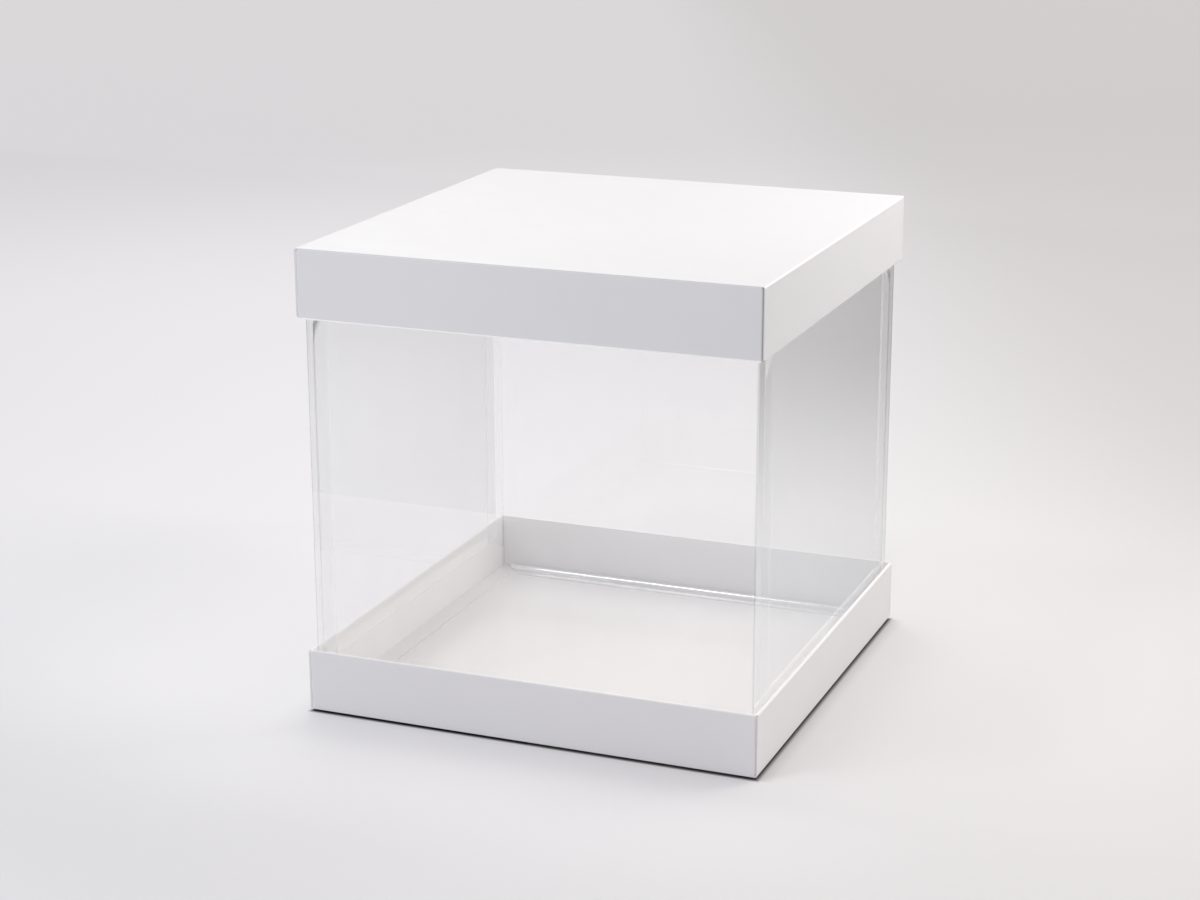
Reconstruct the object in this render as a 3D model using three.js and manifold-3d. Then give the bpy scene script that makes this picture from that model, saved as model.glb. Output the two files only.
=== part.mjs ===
// Tall see-through cake box: a folded board tray, a clear sleeve made of four film sheets
// that are taped together, and a folded board lid. Millimetres, +Z up, origin under the
// middle of the tray, front towards -Y.
import * as THREE from 'three';
import { mergeVertices } from 'three/addons/utils/BufferGeometryUtils.js';
import Module from 'manifold-3d';

const wasm = await Module();
wasm.setup();

// Driving dimensions of the whole box
const boxWidth = 300;        // tray and lid, along X
const boxDepth = 300;        // tray and lid, along Y
const boxHeight = 300;       // from the underside of the tray to the top of the lid
const trayHeight = 40;
const lidHeight = 44;

// White laminated board of the tray and the lid
const board = 0.8;           // thickness
const boardCrease = 0.5;     // inner radius of a creased fold
const layerGap = 0.1;        // air between layers of board that lie together
const tuckLength = 40;       // corner flap, tucked between the two layers of a side wall
const tuckTaper = 3;         // how much narrower the flap gets towards its free end
const footWidth = 12;        // foot of the inner layer, glued down on the panel
const footEndInset = 5;      // from the end of the inner layer to the foot's mitred end

// Clear film of the sleeve
const film = 0.4;            // thickness
const sideClearance = 1.4;   // between the sleeve and a side wall's inner layer
const frontClearance = 3.2;  // between the sleeve and the front or back wall
const filmCrease = 0.5;      // inner radius of an upright corner crease
const hemWidth = 12;         // inward hem at the foot and the head of a wrap sheet
const hemRadius = 3;         // outer radius of the hem's soft fold
const hemEndInset = 6;       // from the corner of the sleeve to the end of the hem's fold
const glueFlap = 27;         // wrap sheet's flap, round the corner onto the side
const glueFlapTaper = 10;    // rise of the flap's slanted ends
const panelLap = 12.5;       // side panel's reach behind the tray's rim and the lid's skirt
const panelNearEnd = 7.5;    // from the corner of the sleeve to the panel's nearer end
const panelFarEnd = 13;      // and to its other end
const panelCornerRadius = 8; // rounded lower corners of a side panel
const panelCornerCut = 18;   // slanted upper corners of a side panel

// Clear double-sided tape between a glue flap and a side panel
const tape = 0.2;            // thickness
const tapeWidth = 12;
const tapeEndInset = 8;      // from the end of the panel's straight edge to the end of the tape

// What rests on another piece lies this far from it
const restGap = 0.3;

const arcSteps = 6;
const joinOverlap = 0.5;     // how far parts of one sheet run into each other before they are joined

// Geometry helpers

function toSolid(geometry) {
  const shape = geometry.clone();
  shape.deleteAttribute('normal');
  shape.deleteAttribute('uv');
  const merged = mergeVertices(shape, 1e-5);
  return new wasm.Manifold(new wasm.Mesh({
    numProp: 3,
    vertProperties: new Float32Array(merged.attributes.position.array),
    triVerts: new Uint32Array(merged.index.array),
  }));
}

function toGeometry(solid) {
  const mesh = solid.getMesh();
  const geometry = new THREE.BufferGeometry();
  geometry.setAttribute('position', new THREE.BufferAttribute(mesh.vertProperties, 3));
  geometry.setIndex(new THREE.BufferAttribute(mesh.triVerts, 1));
  geometry.computeVertexNormals();
  return geometry;
}

const join = (solids) => solids.reduce((whole, solid) => whole.add(solid));

// A shape drawn in X and Y, from height low to height high
function prismUp(shape, low, high) {
  const geometry = new THREE.ExtrudeGeometry(shape, { depth: high - low, bevelEnabled: false });
  geometry.translate(0, 0, low);
  return toSolid(geometry);
}

// A shape drawn in X and Z, from y = low to y = high
function prismAlongY(shape, low, high) {
  const geometry = new THREE.ExtrudeGeometry(shape, { depth: high - low, bevelEnabled: false });
  geometry.rotateX(Math.PI / 2);
  geometry.translate(0, high, 0);
  return toSolid(geometry);
}

// A shape drawn in Y and Z, from x = low to x = high
function prismAlongX(shape, low, high) {
  const geometry = new THREE.ExtrudeGeometry(shape, { depth: high - low, bevelEnabled: false });
  geometry.rotateX(Math.PI / 2);
  geometry.rotateZ(Math.PI / 2);
  geometry.translate(low, 0, 0);
  return toSolid(geometry);
}

function arc(cx, cy, radius, fromDegrees, toDegrees) {
  const points = [];
  const steps = Math.max(2, Math.ceil(arcSteps * Math.abs(toDegrees - fromDegrees) / 90));
  for (let i = 0; i <= steps; i += 1) {
    const angle = THREE.MathUtils.degToRad(fromDegrees + (toDegrees - fromDegrees) * i / steps);
    points.push(new THREE.Vector2(cx + radius * Math.cos(angle), cy + radius * Math.sin(angle)));
  }
  return points;
}

const point = (x, y) => new THREE.Vector2(x, y);

function rectangle(x0, y0, x1, y1) {
  return new THREE.Shape([point(x0, y0), point(x1, y0), point(x1, y1), point(x0, y1)]);
}

// Mirror image of a solid; two corners of each triangle change places so that it still faces out
function mirrored(solid, scaleX, scaleY) {
  const geometry = toGeometry(solid).scale(scaleX, scaleY, 1);
  const corners = geometry.index.array;
  for (let i = 0; i < corners.length; i += 3) {
    [corners[i], corners[i + 1]] = [corners[i + 1], corners[i]];
  }
  return toSolid(geometry);
}

const mirrorX = (solid) => mirrored(solid, -1, 1);
const mirrorY = (solid) => mirrored(solid, 1, -1);

// Tray and lid: one creased blank, drawn with its opening upwards

const creaseOut = board + boardCrease;                 // outer radius of a fold
const sideWall = 3 * board + 2 * layerGap;             // two layers and the flap between them
const rimRadius = sideWall / 2;                        // rolled rim of a side wall
const tuckOut = boxWidth / 2 - board - layerGap;       // outer face of a tucked flap
const innerFace = boxWidth / 2 - sideWall;             // face of the inner layer

// Right half of the section through the panel and both layers of a side wall, in X and Z
function sideWallSection(height) {
  const outer = boxWidth / 2;
  const rimCentre = point(outer - rimRadius, height - rimRadius);
  const footTop = 2 * board;
  const section = new THREE.Shape([
    point(0, 0),
    ...arc(outer - creaseOut, creaseOut, creaseOut, -90, 0),
    ...arc(rimCentre.x, rimCentre.y, rimRadius, 0, 180),
    ...arc(innerFace - boardCrease, footTop + boardCrease, boardCrease, 0, -90),
    point(innerFace - footWidth, footTop),
    point(innerFace - footWidth, board),
    point(0, board),
  ]);
  section.holes.push(new THREE.Path([
    ...arc(outer - board - boardCrease, board + boardCrease, boardCrease, -90, 0),
    ...arc(rimCentre.x, rimCentre.y, rimRadius - board, 0, 180),
    point(innerFace + board, board),
  ]));
  return section;
}

// Outer layer of a side wall alone: it runs past the inner layer, up to the wall's cut end
function outerLayerSection(height) {
  const outer = boxWidth / 2;
  return new THREE.Shape([
    point(0, 0),
    ...arc(outer - creaseOut, creaseOut, creaseOut, -90, 0),
    point(outer, height - rimRadius),
    point(outer - board, height - rimRadius),
    ...arc(outer - board - boardCrease, board + boardCrease, boardCrease, 0, -90),
    point(0, board),
  ]);
}

// Front half of the section through the panel and the single front wall, in Y and Z
function frontWallSection(height) {
  const outer = boxDepth / 2;
  return new THREE.Shape([
    point(0, board),
    ...arc(-outer + board + boardCrease, board + boardCrease, boardCrease, -90, -180),
    point(-outer + board, height),
    point(-outer, height),
    ...arc(-outer + creaseOut, creaseOut, creaseOut, -180, -90),
    point(0, 0),
  ]);
}

// Upright fold at the right end of the front wall, and the flap that it turns into
function cornerTuck(height) {
  const centre = point(tuckOut - creaseOut, -boxDepth / 2 + creaseOut);
  const fold = new THREE.Shape([
    point(centre.x - joinOverlap, -boxDepth / 2),
    ...arc(centre.x, centre.y, creaseOut, -90, 0),
    ...arc(centre.x, centre.y, boardCrease, 0, -90),
    point(centre.x - joinOverlap, -boxDepth / 2 + board),
  ]);
  const low = board + layerGap;
  const high = height - rimRadius;
  const root = centre.y - layerGap;
  const flap = new THREE.Shape([
    point(root, creaseOut),
    point(root + tuckLength, low + tuckTaper),
    point(root + tuckLength, high - tuckTaper),
    point(root, high),
  ]);
  return prismUp(fold, creaseOut, height).add(prismAlongX(flap, tuckOut - board, tuckOut));
}

// The foot's two ends are cut back at 45 degrees
function footEndCut() {
  const end = boxDepth / 2 - creaseOut - layerGap;
  const reach = footWidth + joinOverlap;
  const cut = new THREE.Shape([
    point(innerFace, -end + footEndInset),
    point(innerFace - reach, -end + footEndInset + reach),
    point(innerFace - reach, -end - joinOverlap),
    point(innerFace, -end - joinOverlap),
  ]);
  return prismUp(cut, board, 2 * board + joinOverlap);
}

function foldedCase(height) {
  const innerEnd = boxDepth / 2 - creaseOut - layerGap;
  const outerEnd = boxDepth / 2 - layerGap;
  const wallEnd = tuckOut - creaseOut;
  const footCut = footEndCut();
  const side = prismAlongY(sideWallSection(height), -innerEnd, innerEnd)
    .subtract(footCut)
    .subtract(mirrorY(footCut))
    .add(prismAlongY(outerLayerSection(height), -outerEnd, outerEnd));
  const front = prismAlongX(frontWallSection(height), -wallEnd, wallEnd);
  const tuck = cornerTuck(height);
  const frontRow = join([front, tuck, mirrorX(tuck)]);
  return join([side, mirrorX(side), frontRow, mirrorY(frontRow)]);
}

// Sleeve: two wrap sheets, two side panels, four strips of tape

const sleeveLow = board + restGap;                     // the hem lies on the tray's panel
const sleeveHigh = boxHeight - board - restGap;        // the lid's panel lies on the hem
const halfWidth = innerFace - sideClearance;
const halfDepth = boxDepth / 2 - board - frontClearance;
const panelLow = trayHeight - panelLap;
const panelHigh = boxHeight - lidHeight + panelLap;

// Section through the front wrap sheet with its two hems, in Y and Z
function wrapSection() {
  const fold = -halfDepth + hemRadius;
  const inside = hemRadius - film;
  return new THREE.Shape([
    ...arc(fold, sleeveLow + hemRadius, hemRadius, -90, -180),
    ...arc(fold, sleeveHigh - hemRadius, hemRadius, 180, 90),
    point(-halfDepth + hemWidth, sleeveHigh),
    point(-halfDepth + hemWidth, sleeveHigh - film),
    ...arc(fold, sleeveHigh - hemRadius, inside, 90, 180),
    ...arc(fold, sleeveLow + hemRadius, inside, -180, -90),
    point(-halfDepth + hemWidth, sleeveLow + film),
    point(-halfDepth + hemWidth, sleeveLow),
  ]);
}

// What is cut away beyond the right end of a hem, with a mitre at 45 degrees
function hemEndCut() {
  const start = halfWidth - hemEndInset;
  return new THREE.Shape([
    point(start, -halfDepth - joinOverlap),
    point(halfWidth, -halfDepth - joinOverlap),
    point(halfWidth, -halfDepth + hemWidth + joinOverlap),
    point(start - hemWidth - joinOverlap, -halfDepth + hemWidth + joinOverlap),
    point(start, -halfDepth),
  ]);
}

// Upright crease at the right end of the front sheet, and its glue flap
function wrapFlap() {
  const outerRadius = film + filmCrease;
  const centre = point(halfWidth - outerRadius, -halfDepth + outerRadius);
  const crease = new THREE.Shape([
    point(centre.x - joinOverlap, -halfDepth),
    ...arc(centre.x, centre.y, outerRadius, -90, 0),
    ...arc(centre.x, centre.y, filmCrease, 0, -90),
    point(centre.x - joinOverlap, -halfDepth + film),
  ]);
  const freeEdge = -halfDepth + glueFlap;
  const flap = new THREE.Shape([
    point(centre.y, panelLow - glueFlapTaper),
    point(freeEdge, panelLow),
    point(freeEdge, panelHigh),
    point(centre.y, panelHigh + glueFlapTaper),
  ]);
  return prismUp(crease, panelLow - glueFlapTaper, panelHigh + glueFlapTaper)
    .add(prismAlongX(flap, halfWidth - film, halfWidth));
}

function wrapSheet() {
  const end = halfWidth - film - filmCrease;
  const cut = hemEndCut();
  const lowCut = prismUp(cut, sleeveLow - restGap, sleeveLow + hemRadius);
  const highCut = prismUp(cut, sleeveHigh - hemRadius, sleeveHigh + restGap);
  const flap = wrapFlap();
  return join([prismAlongX(wrapSection(), -end, end), flap, mirrorX(flap)])
    .subtract(lowCut)
    .subtract(mirrorX(lowCut))
    .subtract(highCut)
    .subtract(mirrorX(highCut));
}

// Faces of the layers on the left side, from the outside in
const flapFace = -halfWidth + film;
const panelFace = flapFace + tape;
const panelFront = -halfDepth + panelNearEnd;
const panelBack = halfDepth - panelFarEnd;

function sidePanel() {
  const r = panelCornerRadius;
  const outline = new THREE.Shape([
    ...arc(panelFront + r, panelLow + r, r, 180, 270),
    ...arc(panelBack - r, panelLow + r, r, 270, 360),
    point(panelBack, panelHigh - panelCornerCut),
    point(panelBack - panelCornerCut, panelHigh),
    point(panelFront + panelCornerCut, panelHigh),
    point(panelFront, panelHigh - panelCornerCut),
  ]);
  return prismAlongX(outline, panelFace, panelFace + film);
}

// A strip lies in the middle of the band where a glue flap and a side panel lap
function tapeStrip(lapStart, lapEnd) {
  const middle = (lapStart + lapEnd) / 2;
  const low = panelLow + panelCornerRadius + tapeEndInset;
  const high = panelHigh - panelCornerCut - tapeEndInset;
  const outline = rectangle(middle - tapeWidth / 2, low, middle + tapeWidth / 2, high);
  return prismAlongX(outline, flapFace, panelFace);
}

// Materials and assembly

const boardLook = { color: 0xf1f0f2, roughness: 0.42, metalness: 0 };
const filmLook = {
  color: 0xeef1f3, roughness: 0.06, metalness: 0, transparent: true, opacity: 0.22,
};
const tapeLook = {
  color: 0xe4e7ea, roughness: 0.3, metalness: 0, transparent: true, opacity: 0.35,
};

function namedMesh(name, solid, look) {
  const mesh = new THREE.Mesh(toGeometry(solid), new THREE.MeshStandardMaterial(look));
  mesh.name = name;
  return mesh;
}

const tray = new THREE.Group();
tray.add(namedMesh('tray', foldedCase(trayHeight), boardLook));

const wrap = wrapSheet();
const panel = sidePanel();
const frontTape = tapeStrip(panelFront, -halfDepth + glueFlap);
const backTape = tapeStrip(halfDepth - glueFlap, panelBack);

const frontAndLeft = new THREE.Group();
frontAndLeft.add(namedMesh('front_wrap_sheet', wrap, filmLook));
frontAndLeft.add(namedMesh('left_side_panel', panel, filmLook));
frontAndLeft.add(namedMesh('tape_front_left', frontTape, tapeLook));
frontAndLeft.add(namedMesh('tape_back_left', backTape, tapeLook));

// The other two sheets are the same ones, turned half round
const backAndRight = new THREE.Group();
backAndRight.add(namedMesh('back_wrap_sheet', wrap, filmLook));
backAndRight.add(namedMesh('right_side_panel', panel, filmLook));
backAndRight.add(namedMesh('tape_back_right', frontTape, tapeLook));
backAndRight.add(namedMesh('tape_front_right', backTape, tapeLook));
backAndRight.rotation.z = Math.PI;

const sleeve = new THREE.Group();
sleeve.add(frontAndLeft, backAndRight);

const lid = new THREE.Group();
lid.add(namedMesh('lid', foldedCase(lidHeight), boardLook));
lid.rotation.x = Math.PI;
lid.position.z = boxHeight;

const cakeBox = new THREE.Group();
cakeBox.add(tray, sleeve, lid);

export default cakeBox;
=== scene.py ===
import math

import bmesh
import bpy
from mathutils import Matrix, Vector


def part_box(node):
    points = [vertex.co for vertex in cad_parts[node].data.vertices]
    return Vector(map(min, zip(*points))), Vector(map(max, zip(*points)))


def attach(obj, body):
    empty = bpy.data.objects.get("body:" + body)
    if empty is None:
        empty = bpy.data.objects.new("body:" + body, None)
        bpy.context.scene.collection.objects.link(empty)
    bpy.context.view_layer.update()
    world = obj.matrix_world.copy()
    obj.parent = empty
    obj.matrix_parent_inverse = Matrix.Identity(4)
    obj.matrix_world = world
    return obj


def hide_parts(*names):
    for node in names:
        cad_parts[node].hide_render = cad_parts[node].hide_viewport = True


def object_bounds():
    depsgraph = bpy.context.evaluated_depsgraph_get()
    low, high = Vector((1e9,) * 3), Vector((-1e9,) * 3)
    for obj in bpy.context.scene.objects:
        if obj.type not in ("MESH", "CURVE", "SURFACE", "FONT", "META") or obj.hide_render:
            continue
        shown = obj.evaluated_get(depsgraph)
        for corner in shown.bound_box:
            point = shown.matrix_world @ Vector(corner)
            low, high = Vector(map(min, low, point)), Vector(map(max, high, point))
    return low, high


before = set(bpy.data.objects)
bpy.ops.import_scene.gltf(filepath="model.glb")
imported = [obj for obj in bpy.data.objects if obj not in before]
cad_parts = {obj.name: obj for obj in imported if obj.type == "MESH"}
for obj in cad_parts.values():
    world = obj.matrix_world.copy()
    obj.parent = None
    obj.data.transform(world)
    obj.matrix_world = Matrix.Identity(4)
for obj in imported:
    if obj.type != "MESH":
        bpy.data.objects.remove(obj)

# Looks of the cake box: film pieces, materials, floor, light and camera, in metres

CAD_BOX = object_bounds()

MM = 0.001

# Camera, fitted to the corners of the box in the photograph
CAMERA_PLACE = (0.5715, -1.461, 0.6087)
CAMERA_YAW = 21.68           # degrees, to the left of +Y
CAMERA_PITCH = 16.39         # degrees, downwards
CAMERA_ROLL = 0.10           # degrees
CAMERA_LENS = 74.8           # mm, on a sensor 36 mm wide
SENSOR_WIDTH = 36.0

# Clear film
FILM = 0.4 * MM              # thickness
FILM_REFRACTION = 1.57
FILM_CREASE = 0.9 * MM       # outer radius of an upright corner crease
FLAP_TAPER = 10.0 * MM       # rise of a glue flap's slanted ends
HEM_RADIUS = 3.0 * MM        # outer radius of a hem's soft fold
HEM_WIDTH = 12.0 * MM
HEM_END_INSET = 6.0 * MM     # from the corner of the sleeve to the end of the hem's fold
PANEL_CORNER_RADIUS = 8.0 * MM
PANEL_CORNER_CUT = 18.0 * MM
LAP = (119.0 * MM, 135.5 * MM)  # from the middle of a side to the taped lap's two ends
LAP_FACE = 144.8 * MM        # side sheets lie further out than this
PANEL_END = 133.0 * MM       # from the middle of the left side to the back end of its panel
LAP_SHARE = (1.1, 0.75)      # mirroring of the taped laps, against one face: front, back
ROOT_SHARE = 0.5             # what a front flap's bent root mirrors in addition
BEND_LOSS = 0.8              # share of the mirror image that the soft bend at the back left loses
FILM_GLOSS = (0.008, 0.03)   # roughness, between the scuffs and in them
HEM_GLOSS = (0.17, 0.23)
HEM_GAIN = 8.0               # a hem's fold mirrors so many times as much, for the glints in the photograph
MIRROR_LIMIT = 0.9
FILM_VEIL = (0.93, 0.935, 0.94, 1)
DUST_VEIL = 0.04             # how much a grain of dust veils the film
FILM_TINT = (0.992, 0.993, 0.994, 1)
CREASE_TINT = (0.985, 0.987, 0.99, 1)
# Painted shade: the bend of an upright crease next to the face lets less through, for its dark line; the back
# ones less so
SHADE_TINT = (0.80, 0.80, 0.815, 1)
FAR_SHADE_TINT = (0.93, 0.93, 0.935, 1)
EDGE_TONE = (0.95, 0.955, 0.96, 1)
FAR_EDGE_TONE = (0.86, 0.865, 0.88, 1)
TAPE_TONE = ((0.88, 0.89, 0.9, 1), (0.94, 0.945, 0.95, 1))

# How finely the film pieces are divided
FACE_COLUMNS = 28
FACE_LEVELS = 16
PANEL_COLUMNS = 20
TAPE_COLUMNS = 3
TAPE_LEVELS = 40
FLAP_COLUMNS = 4
CREASE_STEPS = 6
SHADE_STEPS = 4              # of these, the ones next to the face get the painted shade
HEM_STEPS = 8
POINT_GAP = 0.01 * MM        # points closer together than this are one
ON_FACE = 0.05 * MM          # a point closer to a face than this lies on it

# Slots of a wrap sheet's materials
FACE_SLOT, EDGE_SLOT, CREASE_SLOT, HEM_SLOT, SHADE_SLOT = range(5)

# Stage
FLOOR_RADIUS = 14.0
FLOOR_SIDES = 96
FLOOR_DROP = 1.8 * MM        # the tray's panel sags, so that its edges stand this far off the table
# Floor tones, most of them painted light and shade: shade at the back right and in front, light beside the
# box, shadows under the tray and at its right
FLOOR_NEAR = ((0.80, 0.80, 0.825, 1), (0.785, 0.772, 0.775, 1))  # left, right
FLOOR_FAR = ((0.83, 0.83, 0.845, 1), (0.86, 0.84, 0.84, 1))
FLOOR_BACK_RIGHT_SHADE = (0.62, 0.60, 0.595, 1)
FLOOR_FRONT_SHADE = (0.62, 0.615, 0.63, 1)
FLOOR_PAINTED_LIGHT = (0.89, 0.885, 0.90, 1)
FLOOR_TOOTH = (0.7, 0.7, 0.7, 1)
FLOOR_UNDER_SHADOW = (0.05, 0.05, 0.055, 1)
FLOOR_FLANK_SHADOW = (0.3, 0.29, 0.29, 1)
# How far the floor takes on each of these tones, from 0 to 1
BACK_RIGHT_SHARE = 0.4
FRONT_SHARE = 0.55
LEFT_SHARE = 0.7
AHEAD_SHARE = 0.4
BEHIND_SHARE = 0.32
TOOTH_SHARE = 0.03
FLANK_SHARE = 0.25
FLANK_WIDTH = 12 * MM
# Reflection card: a glowing card, seen only in mirror images, that paints a reflection in the film
REFLECTION_CARD_GAP = 10 * MM           # from the box to the flag
REFLECTION_CARD_REACH = 1.6
REFLECTION_CARD_GLOW = (0.97, 0.98, 1, 1)
REFLECTION_CARD_STRENGTH = (0.98, 0.13)  # in the middle, and REFLECTION_CARD_FADE metres away from it
REFLECTION_CARD_FADE = 1.05
REFLECTION_CARD_LEFT_SHARE = 0.45
DOME_TOP = (0.64, 0.627, 0.64, 1)
DOME_FRONT = (0.455, 0.455, 0.495, 1)
DOME_BACK = (1.26, 1.23, 1.19, 1)
DOME_LEFT = (1.20, 1.19, 1.175, 1)
DOME_RIGHT = (1.09, 1.045, 1.0, 1)
DOME_TOP_FROM = (0.6, 0.85)  # sines of the heights where the top's tone sets in and is reached
LAMPS_AIM = (0, 0, 0.15)
LAMPS = (
    # Name, place, width of the disc, watts, colour
    ("key", (-0.8, 1.1, 1.1), 0.7, 3.0, (1, 0.99, 0.97)),
    ("rim", (0.9, 1.1, 0.9), 0.7, 0.5, (1, 0.95, 0.90)),
    ("right", (0.43, 0.2, 0.58), 0.25, 0.85, (1, 0.965, 0.93)),
    ("window", (-0.43, -0.81, 0.58), 0.4, 1.3, (0.86, 0.93, 1)),
    ("top", (-0.43, -0.49, 1.37), 0.25, 1.5, (1, 0.99, 0.98)),
)
DIFFUSE_BOUNCES = 8
TRANSPARENT_BOUNCES = 32     # with fewer, stacked edges of film turn into dark lines

# White board
BOARD = 0.8 * MM             # thickness
LAYER_GAP = 0.1 * MM
# Inner face of a panel, in front: the tray's is darker there than at the back, painted light against the
# shade by its back wall
TRAY_PANEL = (0.83, 0.808, 0.805)
# Fold tones: painted highlights on the level folds and rims
TRAY_FOLD_HIGHLIGHT = (0.88, 0.875, 0.88)
TRAY_LAMINATE = (0.768, 0.760, 0.772)
TRAY_SLIT_SHADE = 0.05             # how dark the painted shade in the slit at a right upright corner is, from 0 to 1
LID_PANEL = (0.96, 0.955, 0.957)
LID_FOLD_HIGHLIGHT = (0.98, 0.975, 0.975)
LID_LAMINATE = (0.755, 0.756, 0.775)
LID_SLIT_SHADE = 0.38
# The reverse, facing into the box, is whiter than the laminate: partly the board's own two sides, partly
# painted light against the shade inside
REVERSE = ((0.955, 0.947, 0.948, 1), (0.975, 0.968, 0.969, 1))
CORE = ((0.92, 0.915, 0.91, 1), (0.99, 0.985, 0.98, 1))
# Painted shade on cut edges that face down
CORE_BELOW_SHADE = (0.74, 0.735, 0.745, 1)
CORE_END = ((0.66, 0.65, 0.645, 1), (0.74, 0.73, 0.72, 1))
# Painted highlight on the fold that is pressed home at the left
PRESSED_FOLD_HIGHLIGHT = (0.98, 0.975, 0.975, 1)
SLIT_SHADE_TONE = (0.16, 0.155, 0.165, 1)
DARKER_LAMINATE = 0.97       # tone of the laminate's darker clouds
STRAIGHT = 0.95              # above this, a part of a normal means that the face looks along that axis
RIM_EDGE = 0.05 * MM         # cut edges at a rim lie within this of its height
LIP_HEIGHT = 0.9 * MM        # of a front or back wall's rim that gets a fold's gloss and painted highlight
CORNER_REACH = 1.8 * MM      # how far in from the outer face the upright folds at the corners lie
SLIT_FROM = (2.4 * MM, 1.1 * MM)    # in from the side's outer face: the slit's painted shade sets in, and is full
SLIT_TO = (0.75 * MM, 0.45 * MM)    # it fades, and ends
PRESSED_MIDDLE = 1.1 * MM
PRESSED_HALF_WIDTH = 0.35 * MM
SKIN_DEPTH = (1.2 * MM, 0.2 * MM)   # in from the outer face: the laminate's tone sets in, and is full
PANEL_SKIN_DEPTH = (0.2 * MM, 0.6 * MM)
BOARD_GLOSS = (0.42, 0.52)
BARE_ROUGHNESS = 0.85
BOARD_BOW = 0.9 * MM
BOARD_TOOTH = 0.006 * MM
COAT_RIPPLE = 0.25 * MM


def make_camera():
    camera = bpy.data.objects.new("camera", bpy.data.cameras.new("camera"))
    bpy.context.scene.collection.objects.link(camera)
    camera.data.sensor_width = SENSOR_WIDTH
    camera.data.lens = CAMERA_LENS
    camera.location = CAMERA_PLACE
    camera.rotation_euler = (
        math.radians(90 - CAMERA_PITCH),
        math.radians(CAMERA_ROLL),
        math.radians(CAMERA_YAW),
    )
    bpy.context.scene.camera = camera


# Material graphs


class Graph:
    """One node tree, with short calls for the nodes that the materials share."""

    def __init__(self, owner):
        owner.use_nodes = True
        self.tree = owner.node_tree
        self.tree.nodes.clear()

    def node(self, kind, **settings):
        made = self.tree.nodes.new("ShaderNode" + kind)
        for name, value in settings.items():
            setattr(made, name, value)
        return made

    def feed(self, socket, value):
        if isinstance(value, bpy.types.NodeSocket):
            self.tree.links.new(value, socket)
        elif value is not None:
            socket.default_value = value

    def math(self, operation, *values):
        made = self.node("Math", operation=operation)
        for socket, value in zip(made.inputs, values):
            self.feed(socket, value)
        return made.outputs[0]

    def product(self, first, *others):
        for other in others:
            first = self.math("MULTIPLY", first, other)
        return first

    def split(self, vector):
        made = self.node("SeparateXYZ")
        self.feed(made.inputs[0], vector)
        return made.outputs

    def ramp(self, value, low, high, to_low=0.0, to_high=1.0):
        """Value from low to high, as to_low to to_high, eased and held at both ends."""
        made = self.node("MapRange", interpolation_type="SMOOTHSTEP")
        for name, number in (
            ("Value", value),
            ("From Min", low),
            ("From Max", high),
            ("To Min", to_low),
            ("To Max", to_high),
        ):
            self.feed(made.inputs[name], number)
        return made.outputs[0]

    def noise(self, vector, scale, detail=2.0, roughness=0.5, distortion=0.0):
        made = self.node("TexNoise")
        self.feed(made.inputs["Vector"], vector)
        self.feed(made.inputs["Scale"], scale)
        self.feed(made.inputs["Detail"], detail)
        self.feed(made.inputs["Roughness"], roughness)
        self.feed(made.inputs["Distortion"], distortion)
        return made.outputs["Fac"]

    def stretched(self, vector, scale):
        made = self.node("Mapping")
        self.feed(made.inputs["Vector"], vector)
        made.inputs["Scale"].default_value = scale
        return made.outputs[0]

    def colour(self, factor, first, second):
        made = self.node("Mix", data_type="RGBA")
        self.feed(made.inputs["Factor"], factor)
        self.feed(made.inputs[6], first)
        self.feed(made.inputs[7], second)
        return made.outputs[2]

    def bump(self, height, distance, strength=1.0, normal=None):
        made = self.node("Bump")
        made.inputs["Strength"].default_value = strength
        made.inputs["Distance"].default_value = distance
        self.feed(made.inputs["Height"], height)
        self.feed(made.inputs["Normal"], normal)
        return made.outputs[0]

    def mix(self, factor, first, second):
        made = self.node("MixShader")
        self.feed(made.inputs[0], factor)
        self.feed(made.inputs[1], first)
        self.feed(made.inputs[2], second)
        return made.outputs[0]


def new_material(name):
    material = bpy.data.materials.new(name)
    graph = Graph(material)
    output = graph.node("OutputMaterial")
    place = graph.node("TexCoord").outputs["Object"]
    return material, graph, output, place


# White laminated board


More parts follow.
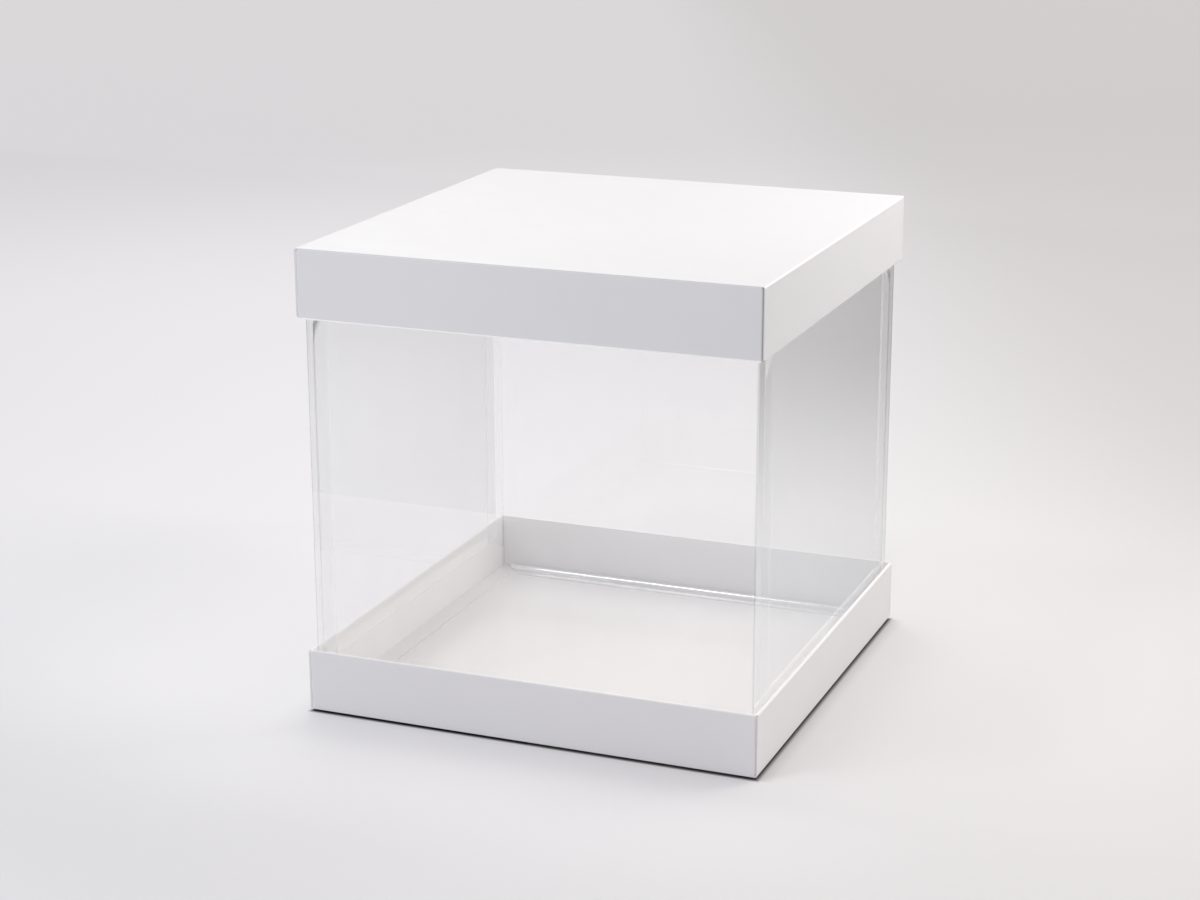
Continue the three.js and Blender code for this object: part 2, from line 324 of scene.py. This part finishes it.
def board_material(name, rim_height, laminate_tone, panel_tone, fold_highlight_tone, slit_shade_depth):
    """Gloss laminate over board, with bare core at its cut edges. rim_height is where the rim's edge lies."""
    material, graph, output, place = new_material(name)
    x, y, z = graph.split(place)
    normal = graph.split(graph.node("NewGeometry").outputs["True Normal"])

    half = CAD_BOX[1].x
    across = graph.math("ABSOLUTE", x)
    along = graph.math("ABSOLUTE", y)
    faces_along = graph.math("GREATER_THAN", graph.math("ABSOLUTE", normal["Y"]), STRAIGHT)
    outer_layer = graph.math("GREATER_THAN", across, half - BOARD - LAYER_GAP / 2)
    outer_end = graph.math("MULTIPLY", faces_along, outer_layer)
    upright = graph.math("ABSOLUTE", normal["Z"])
    faces_up = graph.math("GREATER_THAN", upright, STRAIGHT)
    at_rim = graph.math("COMPARE", z, rim_height, RIM_EDGE)
    wall_top = graph.math("MULTIPLY", faces_up, at_rim)
    bare = graph.math("MAXIMUM", outer_end, wall_top)

    # Level folds are pressed smooth and shine: a glossier coat, and a lighter tone that is a painted
    # highlight
    fold = graph.product(graph.ramp(upright, 0.25, 0.6), graph.ramp(upright, 0.9, 0.99, 1.0, 0.0))
    # The band at a front or back wall's rim gets the same gloss and painted highlight
    lip = graph.math("COMPARE", z, rim_height, LIP_HEIGHT)
    lip = graph.product(lip, graph.math("GREATER_THAN", along, half - 1.1 * BOARD))
    fold = graph.math("MAXIMUM", fold, lip)

    # Painted shade: it is dark in the slit where a front or back wall's upright fold meets the right side
    # wall's cut end
    slit_shade = graph.product(
        graph.ramp(across, half - SLIT_FROM[0], half - SLIT_FROM[1]),
        graph.ramp(across, half - SLIT_TO[0], half - SLIT_TO[1], 1.0, 0.0),
        graph.math("GREATER_THAN", along, half - CORNER_REACH),
        graph.ramp(upright, 0.2, 0.5, 1.0, 0.0),
        graph.ramp(x, -0.1, 0.1, 0.0, slit_shade_depth),
    )

    # Painted highlight: at the left the fold is pressed home, and a lighter tone stands for the light that it
    # catches
    pressed_highlight = graph.math("COMPARE", x, PRESSED_MIDDLE - half, PRESSED_HALF_WIDTH)
    pressed_highlight = graph.product(pressed_highlight, graph.math("GREATER_THAN", along, half - CORNER_REACH))

    # The laminated outer face is a little greyer than the reverse of the board: partly the board's own two
    # sides, and partly painted light, as the reverse, which lines the box, is whiter against the shade inside
    outermost = graph.math("MAXIMUM", across, along)
    skin = graph.ramp(outermost, half - SKIN_DEPTH[0], half - SKIN_DEPTH[1])
    end_height = CAD_BOX[1].z if rim_height > CAD_BOX[1].z / 2 else 0.0
    from_end = graph.math("ABSOLUTE", graph.math("SUBTRACT", z, end_height))
    skin = graph.math("MAXIMUM", skin, graph.ramp(from_end, *PANEL_SKIN_DEPTH, 1.0, 0.0))

    mottle = graph.noise(place, 55.0, detail=4.0, roughness=0.6)
    cloud = graph.noise(place, 7.0, detail=1.0)
    fine = graph.math("MULTIPLY_ADD", graph.ramp(cloud, 0.35, 0.7), 0.4, graph.math("MULTIPLY", mottle, 0.6))
    reverse = graph.colour(fine, *REVERSE)
    # Painted light: the panel takes panel_tone in front and the reverse's tone towards the back wall, lighter
    # there against the shade
    on_panel = graph.product(
        graph.ramp(from_end, 1.0 * MM, 3.0 * MM, 1.0, 0.0),
        graph.ramp(y, 0.2 * half, 0.95 * half, 1.0, 0.0),
    )
    reverse = graph.colour(on_panel, reverse, tuple(panel_tone) + (1,))
    darker = tuple(DARKER_LAMINATE * c for c in laminate_tone) + (1,)
    laminate = graph.colour(fine, darker, tuple(laminate_tone) + (1,))
    paper = graph.colour(skin, reverse, laminate)
    paper = graph.colour(fold, paper, tuple(fold_highlight_tone) + (1,))
    paper = graph.colour(pressed_highlight, paper, PRESSED_FOLD_HIGHLIGHT)
    fibre = graph.noise(graph.stretched(place, (1, 1, 6)), 900.0, detail=3.0)
    core = graph.colour(fibre, *CORE)
    # Painted shade: cut edges that face down are darker
    downwards = graph.math("LESS_THAN", normal["Z"], -0.5)
    core = graph.colour(downwards, core, CORE_BELOW_SHADE)
    core = graph.colour(outer_end, core, graph.colour(fibre, *CORE_END))
    tone = graph.colour(slit_shade, graph.colour(bare, paper, core), SLIT_SHADE_TONE)

    # Walls of folded board aren't quite flat: they bow, and the paper shows a fine tooth
    bow = graph.noise(place, 5.0, detail=0.0)
    tooth = graph.noise(place, 1400.0, detail=2.0)
    shape = graph.bump(bow, BOARD_BOW)
    shape = graph.bump(tooth, BOARD_TOOTH, normal=shape)
    ripple = graph.bump(graph.noise(place, 11.0, detail=1.0), COAT_RIPPLE)

    shader = graph.node("BsdfPrincipled")
    graph.feed(shader.inputs["Base Color"], tone)
    rough = graph.ramp(mottle, 0.3, 0.7, *BOARD_GLOSS)
    rough = graph.math("MAXIMUM", rough, graph.math("MULTIPLY", bare, BARE_ROUGHNESS))
    graph.feed(shader.inputs["Roughness"], rough)
    shader.inputs["Specular IOR Level"].default_value = 0.15
    coat = graph.math("MULTIPLY_ADD", skin, -0.5, 0.6)
    coat = graph.product(graph.math("SUBTRACT", 1.0, bare), graph.math("MAXIMUM", coat, fold))
    graph.feed(shader.inputs["Coat Weight"], coat)
    shader.inputs["Coat Roughness"].default_value = 0.12
    shader.inputs["Coat IOR"].default_value = 1.5
    graph.feed(shader.inputs["Normal"], shape)
    graph.feed(shader.inputs["Coat Normal"], ripple)
    graph.feed(output.inputs["Surface"], shader.outputs[0])
    return material


# Clear film


def sheet_reflectance(graph, place):
    """Share of light that a sheet mirrors, by the angle that it is met at."""
    head_on = ((FILM_REFRACTION - 1) / (FILM_REFRACTION + 1)) ** 2
    weight = graph.node("LayerWeight")
    weight.inputs["Blend"].default_value = 0.5
    grazing = graph.math("POWER", weight.outputs["Facing"], 5.0)
    one_face = graph.math("MULTIPLY_ADD", grazing, 1 - head_on, head_on)
    both = graph.math(
        "DIVIDE", graph.math("MULTIPLY", one_face, 2.0), graph.math("ADD", one_face, 1.0)
    )
    x, y, z = graph.split(place)
    on_side = graph.math("GREATER_THAN", graph.math("ABSOLUTE", x), LAP_FACE)

    # A taped lap mirrors off one face, not two
    along = graph.math("ABSOLUTE", y)
    lap = graph.product(
        graph.math("GREATER_THAN", along, LAP[0]), graph.math("LESS_THAN", along, LAP[1]), on_side
    )
    share = graph.math(
        "ADD",
        graph.product(one_face, lap, graph.ramp(y, -0.1, 0.1, *LAP_SHARE)),
        graph.product(both, graph.math("SUBTRACT", 1.0, lap)),
    )

    # The roots of the front flaps bend a little and mirror more
    root = graph.product(on_side, graph.math("LESS_THAN", y, -LAP[1]))
    share = graph.product(share, graph.math("MULTIPLY_ADD", root, ROOT_SHARE, 1.0))

    # Past the end of the left panel the back sheet bends softly, and its mirror image spreads and fades
    bend = graph.product(
        graph.math("LESS_THAN", x, 0.0),
        on_side,
        graph.ramp(y, PANEL_END - 1 * MM, PANEL_END + 1 * MM, 0.0, BEND_LOSS),
    )
    return graph.product(share, graph.math("SUBTRACT", 1.0, bend))


def film_material(name, haze, tint, gain=1.0, gloss=FILM_GLOSS):
    """Clear film: it mirrors at its faces, lets the rest through, and has some haze, streaks and dust."""
    material, graph, output, place = new_material(name)
    dust = graph.ramp(graph.noise(place, 420.0, detail=1.0), 0.74, 0.80)
    scuffs = graph.noise(graph.stretched(place, (1, 1, 0.25)), 26.0, detail=5.0, distortion=1.5)
    wave = graph.bump(graph.noise(place, 9.0, detail=1.0), 0.12 * MM)

    clear = graph.node("BsdfTransparent")
    clear.inputs["Color"].default_value = tint
    mirror = graph.node("BsdfGlossy")
    mirror.inputs["Color"].default_value = (1, 1, 1, 1)
    graph.feed(mirror.inputs["Roughness"], graph.ramp(scuffs, 0.35, 0.75, *gloss))
    graph.feed(mirror.inputs["Normal"], wave)
    share = graph.product(sheet_reflectance(graph, place), gain)
    share = graph.math("MINIMUM", share, MIRROR_LIMIT)
    glass = graph.mix(share, clear.outputs[0], mirror.outputs[0])

    scatter = graph.node("BsdfDiffuse")
    scatter.inputs["Color"].default_value = FILM_VEIL
    through = graph.node("BsdfTranslucent")
    through.inputs["Color"].default_value = FILM_VEIL
    veil = graph.mix(0.5, scatter.outputs[0], through.outputs[0])
    amount = graph.math("MULTIPLY", graph.ramp(scuffs, 0.3, 0.8, 0.5, 1.5), haze)
    amount = graph.math("MULTIPLY_ADD", dust, DUST_VEIL, amount)
    graph.feed(output.inputs["Surface"], graph.mix(amount, glass, veil))
    return material


def film_edge_material(name, colour, clearness):
    """A cut edge of film, where the light that travels in the film comes out."""
    material, graph, output, place = new_material(name)
    nicks = graph.noise(graph.stretched(place, (1, 1, 0.15)), 300.0, detail=2.0)
    tone = graph.colour(nicks, tuple(0.96 * c for c in colour[:3]) + (1,), colour)
    scatter = graph.node("BsdfDiffuse")
    graph.feed(scatter.inputs["Color"], tone)
    through = graph.node("BsdfTranslucent")
    graph.feed(through.inputs["Color"], tone)
    body = graph.mix(0.6, scatter.outputs[0], through.outputs[0])
    clear = graph.node("BsdfTransparent")
    clear.inputs["Color"].default_value = (0.97, 0.98, 0.99, 1)
    amount = graph.ramp(nicks, 0.2, 0.8, clearness + 0.05, clearness - 0.05)
    graph.feed(output.inputs["Surface"], graph.mix(amount, body, clear.outputs[0]))
    return material


def tape_material(name):
    """Clear tape between two sheets of film: it hardly shows, but for a faint unevenness in its glue."""
    material, graph, output, place = new_material(name)
    glue = graph.noise(graph.stretched(place, (1, 1, 0.3)), 90.0, detail=2.0, distortion=0.6)
    clear = graph.node("BsdfTransparent")
    clear.inputs["Color"].default_value = (0.99, 0.99, 0.99, 1)
    body = graph.node("BsdfPrincipled")
    graph.feed(body.inputs["Base Color"], graph.colour(glue, *TAPE_TONE))
    graph.feed(body.inputs["Roughness"], graph.ramp(glue, 0.3, 0.7, 0.4, 0.6))
    body.inputs["Specular IOR Level"].default_value = 0.1
    amount = graph.ramp(glue, 0.3, 0.8, 0.0, 0.025)
    graph.feed(output.inputs["Surface"], graph.mix(amount, clear.outputs[0], body.outputs[0]))
    return material


# Film pieces. A sheet is its outer skin, with a band as deep as the film round its edge


def add_patch(mesh, rows, material_index=0):
    """Faces between neighbouring rows of points, with as many points in each row."""
    made = [[mesh.verts.new(p) for p in row] for row in rows]
    for low, high in zip(made, made[1:]):
        for i in range(len(low) - 1):
            face = mesh.faces.new((low[i], low[i + 1], high[i + 1], high[i]))
            face.material_index = material_index
            face.smooth = True


def finish_sheet(name, mesh, inward, materials, body, node):
    """Joins the patches, turns the edge in by the film's thickness, and seats the piece in the frame."""
    bmesh.ops.remove_doubles(mesh, verts=mesh.verts, dist=POINT_GAP)
    mesh.normal_update()
    bmesh.ops.recalc_face_normals(mesh, faces=mesh.faces)
    # Flat faces keep their own normals where a fold or crease starts
    for edge in mesh.edges:
        edge.smooth = len({face.material_index for face in edge.link_faces}) < 2
    inner = {}
    for edge in [e for e in mesh.edges if e.is_boundary]:
        start = edge.link_loops[0].vert
        end = edge.other_vert(start)
        for corner in (end, start):
            if corner not in inner:
                inner[corner] = mesh.verts.new(corner.co + inward(corner.co) * FILM)
        face = mesh.faces.new((end, start, inner[start], inner[end]))
        face.material_index = EDGE_SLOT
        face.smooth = False
    data = bpy.data.meshes.new(name)
    mesh.to_mesh(data)
    mesh.free()
    for material in materials:
        data.materials.append(material)
    piece = bpy.data.objects.new(name, data)
    bpy.context.scene.collection.objects.link(piece)
    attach(piece, body)
    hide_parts(node)


def spread(low, high, count):
    """Evenly spaced values from low to high, with count steps between them."""
    return [low + (high - low) * i / count for i in range(count + 1)]


def turned(points, half_turn):
    """The back sheet and right panel are the front sheet and left panel turned half round."""
    if half_turn:
        return [Vector((-p.x, -p.y, p.z)) for p in points]
    return points


def arc_points(radius, start, end, count):
    return [
        (radius * math.cos(math.radians(a)), radius * math.sin(math.radians(a)))
        for a in spread(start, end, count)
    ]


def wrap_sheet(name, node, half_turn, materials):
    """A face, two mitred hems, and an upright crease and a glue flap at both ends."""
    low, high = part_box(node)
    half_width = high.x
    half_depth = high.y if half_turn else -low.y
    panel_low, panel_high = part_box("left_side_panel")
    flap_reach = high.y - low.y
    crease_x = half_width - FILM_CREASE
    crease_y = -half_depth + FILM_CREASE
    fold_low = low.z + HEM_RADIUS
    fold_high = high.z - HEM_RADIUS
    hem_x = half_width - HEM_END_INSET
    root_low = panel_low.z - FLAP_TAPER
    root_high = panel_high.z + FLAP_TAPER
    mesh = bmesh.new()

    def patch(rows, index=FACE_SLOT):
        add_patch(mesh, [turned(row, half_turn) for row in rows], index)

    # Face of the sheet
    columns = [-crease_x, *spread(-hem_x, hem_x, FACE_COLUMNS), crease_x]
    inner_levels = spread(panel_low.z, panel_high.z, FACE_LEVELS)
    levels = [fold_low, root_low, *inner_levels, root_high, fold_high]
    patch([[Vector((x, -half_depth, z)) for x in columns] for z in levels])

    # Hems: a soft fold and a flat lip, mitred at both ends
    for bottom in (True, False):
        centre_z = fold_low if bottom else fold_high
        sign = -1 if bottom else 1
        ring = [
            (-half_depth + HEM_RADIUS - c * HEM_RADIUS, centre_z + sign * s * HEM_RADIUS)
            for c, s in arc_points(1.0, 0, 90, HEM_STEPS)
        ]
        ring.append((-half_depth + HEM_WIDTH, centre_z + sign * HEM_RADIUS))
        rows = []
        for y, z in ring:
            depth = y + half_depth
            across = [x * (hem_x - depth) / hem_x for x in spread(-hem_x, hem_x, FACE_COLUMNS)]
            rows.append([Vector((x, y, z)) for x in across])
        patch(rows[:-1], HEM_SLOT)
        patch(rows[-2:])

    # Upright creases and glue flaps
    free_edge = -half_depth + flap_reach
    for side in (-1, 1):
        rounds = [
            (side * (crease_x + c), crease_y + s)
            for c, s in arc_points(FILM_CREASE, -90, 0, CREASE_STEPS)
        ]
        reach = [(side * half_width, y) for y in spread(crease_y, free_edge, FLAP_COLUMNS)[1:]]
        upright_rows = []
        for x, y in rounds + reach:
            share = max(0.0, (y - crease_y) / (free_edge - crease_y))
            bottom = root_low + share * FLAP_TAPER
            top = root_high - share * FLAP_TAPER
            upright_rows.append([Vector((x, y, z)) for z in [bottom, *inner_levels, top]])
        patch(upright_rows[:SHADE_STEPS + 1], SHADE_SLOT)
        patch(upright_rows[SHADE_STEPS:CREASE_STEPS + 1], CREASE_SLOT)
        patch(upright_rows[CREASE_STEPS:])

    def inward(p):
        q = Vector((-p.x, -p.y, p.z)) if half_turn else p
        if abs(q.x) > half_width - ON_FACE:
            way = Vector((-math.copysign(1, q.x), 0, 0))
        elif q.z < fold_low - 2 * ON_FACE:
            way = Vector((0, 0, 1))
        elif q.z > fold_high + 2 * ON_FACE:
            way = Vector((0, 0, -1))
        else:
            way = Vector((0, 1, 0))
        return Vector((-way.x, -way.y, way.z)) if half_turn else way

    finish_sheet(name, mesh, inward, materials, "sleeve", node)


def side_panel(name, node, materials):
    """A flat panel with rounded lower corners and slanted upper ones."""
    low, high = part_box(node)
    left = low.x < 0
    face_x = low.x if left else high.x
    inside = 1 if left else -1
    # The right panel is the left one turned half round, so its nearer end is at the back
    near, far = (low.y, high.y) if left else (-high.y, -low.y)
    rounding = [PANEL_CORNER_RADIUS * (1 - math.cos(math.radians(a))) for a in (0, 30, 60, 90)]
    columns = [near + inset for inset in rounding]
    columns += spread(near + PANEL_CORNER_CUT, far - PANEL_CORNER_CUT, PANEL_COLUMNS)
    columns += [far - inset for inset in reversed(rounding)]

    def bottom(y):
        inset = max(0.0, PANEL_CORNER_RADIUS - min(y - near, far - y))
        rise = PANEL_CORNER_RADIUS - math.sqrt(max(0.0, PANEL_CORNER_RADIUS ** 2 - inset ** 2))
        return low.z + rise

    def top(y):
        return high.z - max(0.0, PANEL_CORNER_CUT - min(y - near, far - y))

    mesh = bmesh.new()
    rows = []
    for share in spread(0, 1, FACE_LEVELS):
        heights = [bottom(y) + share * (top(y) - bottom(y)) for y in columns]
        rows.append([Vector((face_x, y if left else -y, z)) for y, z in zip(columns, heights)])
    add_patch(mesh, rows)
    finish_sheet(
        name, mesh, lambda p: Vector((inside, 0, 0)), materials, "sleeve", node
    )


def tape_strip(name, node, material):
    """A flat strip, in the middle of the tape's thickness."""
    low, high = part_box(node)
    x = (low.x + high.x) / 2
    mesh = bmesh.new()
    rows = []
    for z in spread(low.z, high.z, TAPE_LEVELS):
        rows.append([Vector((x, y, z)) for y in spread(low.y, high.y, TAPE_COLUMNS)])
    add_patch(mesh, rows)
    data = bpy.data.meshes.new(name)
    mesh.to_mesh(data)
    mesh.free()
    data.materials.append(material)
    piece = bpy.data.objects.new(name, data)
    bpy.context.scene.collection.objects.link(piece)
    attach(piece, "sleeve")
    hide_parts(node)


# Floor, backdrop and light


def stage_mesh(name, mesh, material):
    data = bpy.data.meshes.new(name)
    mesh.to_mesh(data)
    mesh.free()
    data.materials.append(material)
    made = bpy.data.objects.new(name, data)
    bpy.context.scene.collection.objects.link(made)
    return made


def make_floor():
    """Pale paper with painted light and shade: cooler at the left, warmer at the right, darker in front and
    at the back right, lighter beside the box, dark under the tray.
    """
    mesh = bmesh.new()
    bmesh.ops.create_circle(mesh, cap_ends=True, radius=FLOOR_RADIUS, segments=FLOOR_SIDES)
    material, graph, output, place = new_material("floor_paper_and_painted_light")
    x, y, z = graph.split(place)
    distance = graph.node("VectorMath", operation="LENGTH")
    graph.feed(distance.inputs[0], place)
    near = graph.colour(graph.ramp(x, -0.6, 0.5), *FLOOR_NEAR)
    far = graph.colour(graph.ramp(x, -2.0, 0.5), *FLOOR_FAR)
    tone = graph.colour(graph.ramp(distance.outputs["Value"], 0.25, 4.0), near, far)
    # Painted shade at the back right and in front
    corner = graph.math("MULTIPLY_ADD", y, 0.45, x)
    shade = graph.product(graph.ramp(corner, 0.25, 0.65), BACK_RIGHT_SHARE)
    tone = graph.colour(shade, tone, FLOOR_BACK_RIGHT_SHADE)
    front = graph.math("MULTIPLY_ADD", y, -0.9, graph.math("MULTIPLY", x, -0.4))
    tone = graph.colour(graph.ramp(front, 0.19, 0.45, 0.0, FRONT_SHARE), tone, FLOOR_FRONT_SHADE)

    # Painted light: it is lighter at the left of the box, ahead of it and behind it
    left = graph.product(
        graph.ramp(x, -0.17, -0.14, 1.0, 0.0),
        graph.ramp(x, -0.45, -0.22),
        graph.ramp(y, -0.3, -0.1, 0.0, LEFT_SHARE),
        graph.ramp(y, 0.1, 0.4, 1.0, 0.0),
    )
    ahead = graph.product(
        graph.ramp(y, -0.205, -0.17, AHEAD_SHARE, 0.0),
        graph.ramp(y, -0.33, -0.22),
        graph.ramp(graph.math("ABSOLUTE", x), 0.12, 0.3, 1.0, 0.0),
    )
    off_middle = graph.math("ABSOLUTE", graph.math("ADD", x, 0.25))
    behind = graph.product(
        graph.ramp(y, 0.12, 0.2, 0.0, BEHIND_SHARE),
        graph.ramp(y, 0.5, 1.0, 1.0, 0.0),
        graph.ramp(off_middle, 0.1, 0.55, 1.0, 0.0),
    )
    lighter = graph.math("MAXIMUM", behind, graph.math("MAXIMUM", left, ahead))
    tone = graph.colour(lighter, tone, FLOOR_PAINTED_LIGHT)
    tooth = graph.noise(place, 30.0, detail=4.0)
    tone = graph.colour(graph.product(tooth, TOOTH_SHARE), tone, FLOOR_TOOTH)

    # Painted shadow: hardly any light gets in under the tray, and less than elsewhere at its right side
    half = CAD_BOX[1].x
    reach = graph.math("MAXIMUM", graph.math("ABSOLUTE", x), graph.math("ABSOLUTE", y))
    under = graph.ramp(reach, half - 1.5 * MM, half + 2.5 * MM, 1.0, 0.0)
    tone = graph.colour(under, tone, FLOOR_UNDER_SHADOW)
    flank = graph.product(
        graph.math("GREATER_THAN", x, 0.0),
        graph.math("COMPARE", y, 0.0, CAD_BOX[1].y),
        graph.ramp(x, half, half + FLANK_WIDTH, FLANK_SHARE, 0.0),
    )
    tone = graph.colour(flank, tone, FLOOR_FLANK_SHADOW)
    shader = graph.node("BsdfPrincipled")
    graph.feed(shader.inputs["Base Color"], tone)
    shader.inputs["Roughness"].default_value = 0.9
    shader.inputs["Specular IOR Level"].default_value = 0.1
    graph.feed(output.inputs["Surface"], shader.outputs[0])
    stage_mesh("floor", mesh, material).location.z = -FLOOR_DROP


def make_reflection_card():
    """A glowing card that lies behind the box and to its right, and gets darker away from it. Only mirror
    images show it: a painted reflection.
    """
    mesh = bmesh.new()
    inner = CAD_BOX[1].x + REFLECTION_CARD_GAP
    outlines = [
        [(-REFLECTION_CARD_REACH, inner), (REFLECTION_CARD_REACH, inner), (REFLECTION_CARD_REACH, REFLECTION_CARD_REACH), (-REFLECTION_CARD_REACH, REFLECTION_CARD_REACH)],
        [(inner, -inner), (REFLECTION_CARD_REACH, -inner), (REFLECTION_CARD_REACH, inner), (inner, inner)],
    ]
    for outline in outlines:
        mesh.faces.new([mesh.verts.new((x, y, 0)) for x, y in outline])
    material, graph, output, place = new_material("reflection_card_glow")
    distance = graph.node("VectorMath", operation="LENGTH")
    graph.feed(distance.inputs[0], place)
    glow = graph.node("Emission")
    strength = graph.ramp(distance.outputs["Value"], 0.0, REFLECTION_CARD_FADE, *REFLECTION_CARD_STRENGTH)
    x, y, z = graph.split(place)
    strength = graph.product(strength, graph.ramp(x, 0.0, 0.3, REFLECTION_CARD_LEFT_SHARE, 1.0))
    graph.feed(glow.inputs["Strength"], strength)
    glow.inputs["Color"].default_value = REFLECTION_CARD_GLOW
    graph.feed(output.inputs["Surface"], glow.outputs[0])
    reflection_card = stage_mesh("reflection_card", mesh, material)
    reflection_card.visible_camera = False
    reflection_card.visible_diffuse = False
    reflection_card.visible_transmission = False
    reflection_card.visible_shadow = False


def make_light():
    """A dome of light, bright behind the box, warm to the right, dim and cool in front, and soft lamps."""
    world = bpy.data.worlds.new("studio")
    bpy.context.scene.world = world
    graph = Graph(world)
    output = graph.node("OutputWorld")
    x, y, z = graph.split(graph.node("TexCoord").outputs["Generated"])
    x_squared = graph.product(x, x)
    y_squared = graph.math("MAXIMUM", graph.product(y, y), 0.0001)
    sideways = graph.math("DIVIDE", x_squared, graph.math("ADD", x_squared, y_squared))
    flank = graph.colour(graph.math("GREATER_THAN", x, 0.0), DOME_LEFT, DOME_RIGHT)
    depth = graph.colour(graph.math("GREATER_THAN", y, 0.0), DOME_FRONT, DOME_BACK)
    tone = graph.colour(sideways, depth, flank)
    tone = graph.colour(graph.ramp(z, *DOME_TOP_FROM), tone, DOME_TOP)
    dome = graph.node("Background")
    graph.feed(dome.inputs["Color"], tone)
    graph.feed(output.inputs["Surface"], dome.outputs[0])
    for lamp in LAMPS:
        area_light(*lamp)


def area_light(name, place, size, power, colour):
    data = bpy.data.lights.new(name, "AREA")
    data.shape = "DISK"
    data.size = size
    data.energy = power
    data.color = colour
    lamp = bpy.data.objects.new(name, data)
    bpy.context.scene.collection.objects.link(lamp)
    lamp.location = place
    lamp.rotation_euler = (Vector(place) - Vector(LAMPS_AIM)).to_track_quat("Z", "Y").to_euler()


make_camera()

for part, rim, laminate, panel, fold, slit_shade in (
    ("tray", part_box("tray")[1].z, TRAY_LAMINATE, TRAY_PANEL, TRAY_FOLD_HIGHLIGHT, TRAY_SLIT_SHADE),
    ("lid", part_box("lid")[0].z, LID_LAMINATE, LID_PANEL, LID_FOLD_HIGHLIGHT, LID_SLIT_SHADE),
):
    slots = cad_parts[part].data.materials
    slots.clear()
    slots.append(board_material(part + "_board", rim, laminate, panel, fold, slit_shade))

film = film_material("clear_film", haze=0.02, tint=FILM_TINT)
cut_edge = film_edge_material("film_cut_edge", EDGE_TONE, clearness=0.3)
far_edge = film_edge_material("film_cut_edge_back", FAR_EDGE_TONE, clearness=0.6)
crease = film_material("film_crease", haze=0.55, tint=CREASE_TINT)
# Painted shade in the creases' bends next to the faces, lighter at the back
shade = film_material("film_crease_shade", haze=0.05, tint=SHADE_TINT)
far_shade = film_material("film_crease_shade_back", haze=0.15, tint=FAR_SHADE_TINT)
hem_fold = film_material("film_hem_fold", haze=0.12, tint=CREASE_TINT, gain=HEM_GAIN, gloss=HEM_GLOSS)
tape = tape_material("clear_tape")

wrap_sheet("front_wrap_film", "front_wrap_sheet", False, [film, cut_edge, crease, hem_fold, shade])
wrap_sheet("back_wrap_film", "back_wrap_sheet", True, [film, far_edge, crease, hem_fold, far_shade])
side_panel("left_panel_film", "left_side_panel", [film, cut_edge])
side_panel("right_panel_film", "right_side_panel", [film, cut_edge])
for corner in ("front_left", "back_left", "back_right", "front_right"):
    tape_strip("tape_strip_" + corner, "tape_" + corner, tape)

make_floor()
make_reflection_card()
make_light()
bpy.context.scene.view_settings.view_transform = "Standard"
bpy.context.scene.cycles.diffuse_bounces = DIFFUSE_BOUNCES
bpy.context.scene.cycles.transparent_max_bounces = TRANSPARENT_BOUNCES
